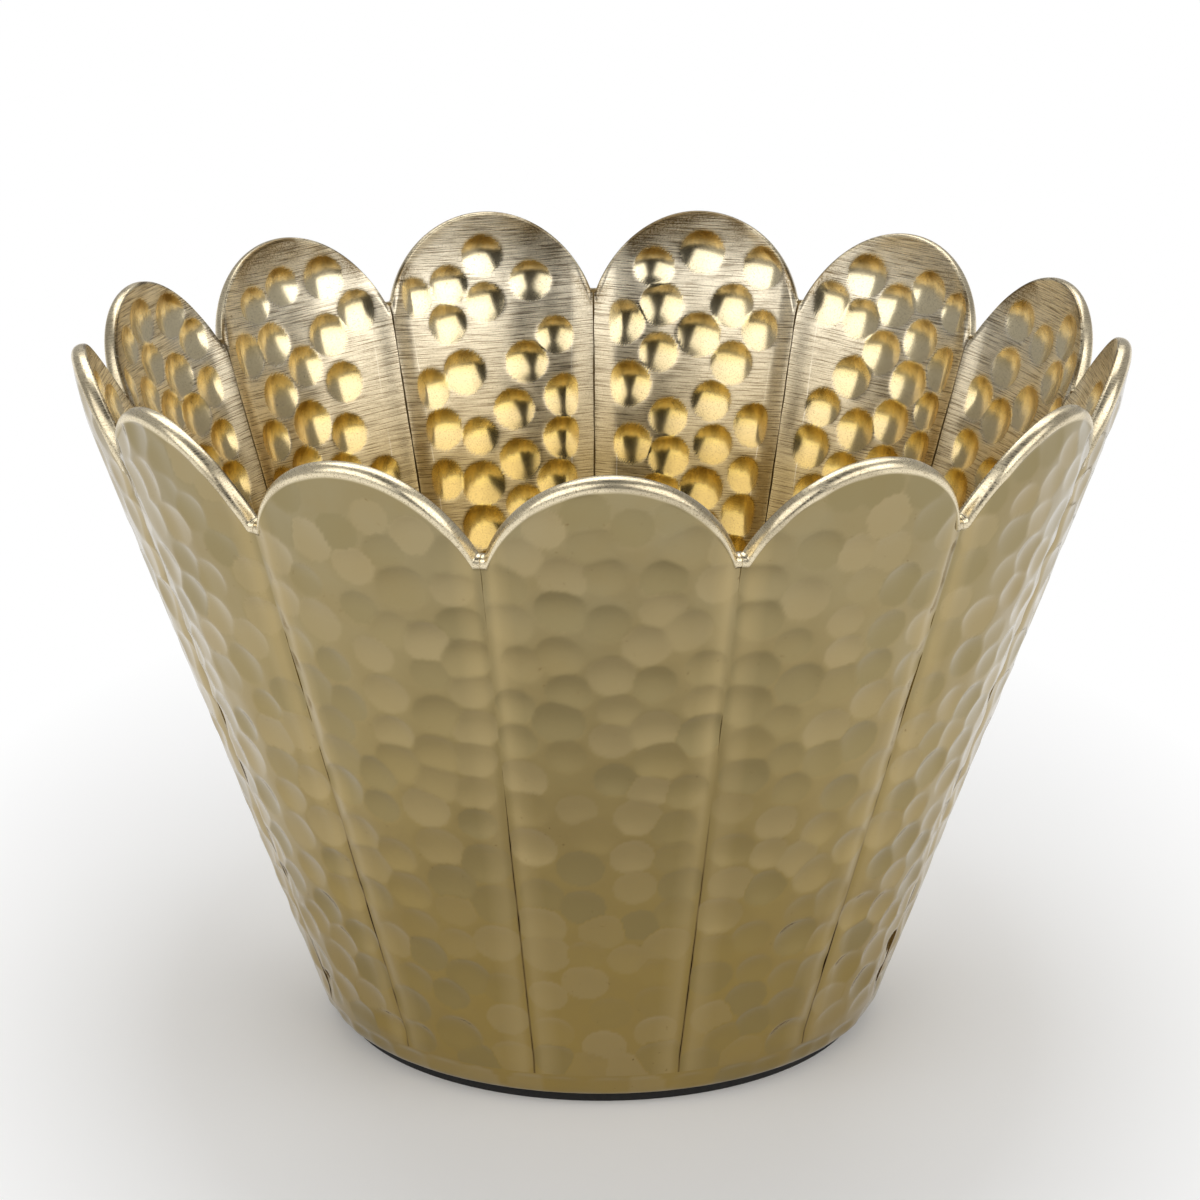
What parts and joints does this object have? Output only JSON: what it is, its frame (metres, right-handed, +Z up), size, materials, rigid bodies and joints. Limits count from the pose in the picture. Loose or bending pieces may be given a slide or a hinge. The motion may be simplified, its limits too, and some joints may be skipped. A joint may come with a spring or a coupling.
{
  "type": "hammered brass bowl",
  "caption": "Deep flared bowl of hammered brass petals with a scalloped rim, brazed to a shallow foot dish with a thin pad beneath.",
  "frame": {"origin": "centre of the face of the base pad that the bowl rests on", "axes": "+Z up along the bowl's axis; -Y through the middle of the front petal"},
  "size_m": [0.2062, 0.2054, 0.1414],
  "materials": {
    "hammered_brass": "hammered, satin polished outside, brushed with bright dents inside",
    "dish_brass": "satin polished",
    "braze": "filed flush, slightly dull",
    "pad_rubber": "matt black"
  },
  "bodies": {
    "root": {"petal_01": "hammered_brass", "petal_02": "hammered_brass", "petal_03": "hammered_brass", "petal_04": "hammered_brass", "petal_05": "hammered_brass", "petal_06": "hammered_brass", "petal_07": "hammered_brass", "petal_08": "hammered_brass", "petal_09": "hammered_brass", "petal_10": "hammered_brass", "petal_11": "hammered_brass", "petal_12": "hammered_brass", "petal_13": "hammered_brass", "seam_braze": "braze", "foot_braze": "braze", "foot_dish": "dish_brass", "base_pad": "pad_rubber"}
  },
  "joints": []
}
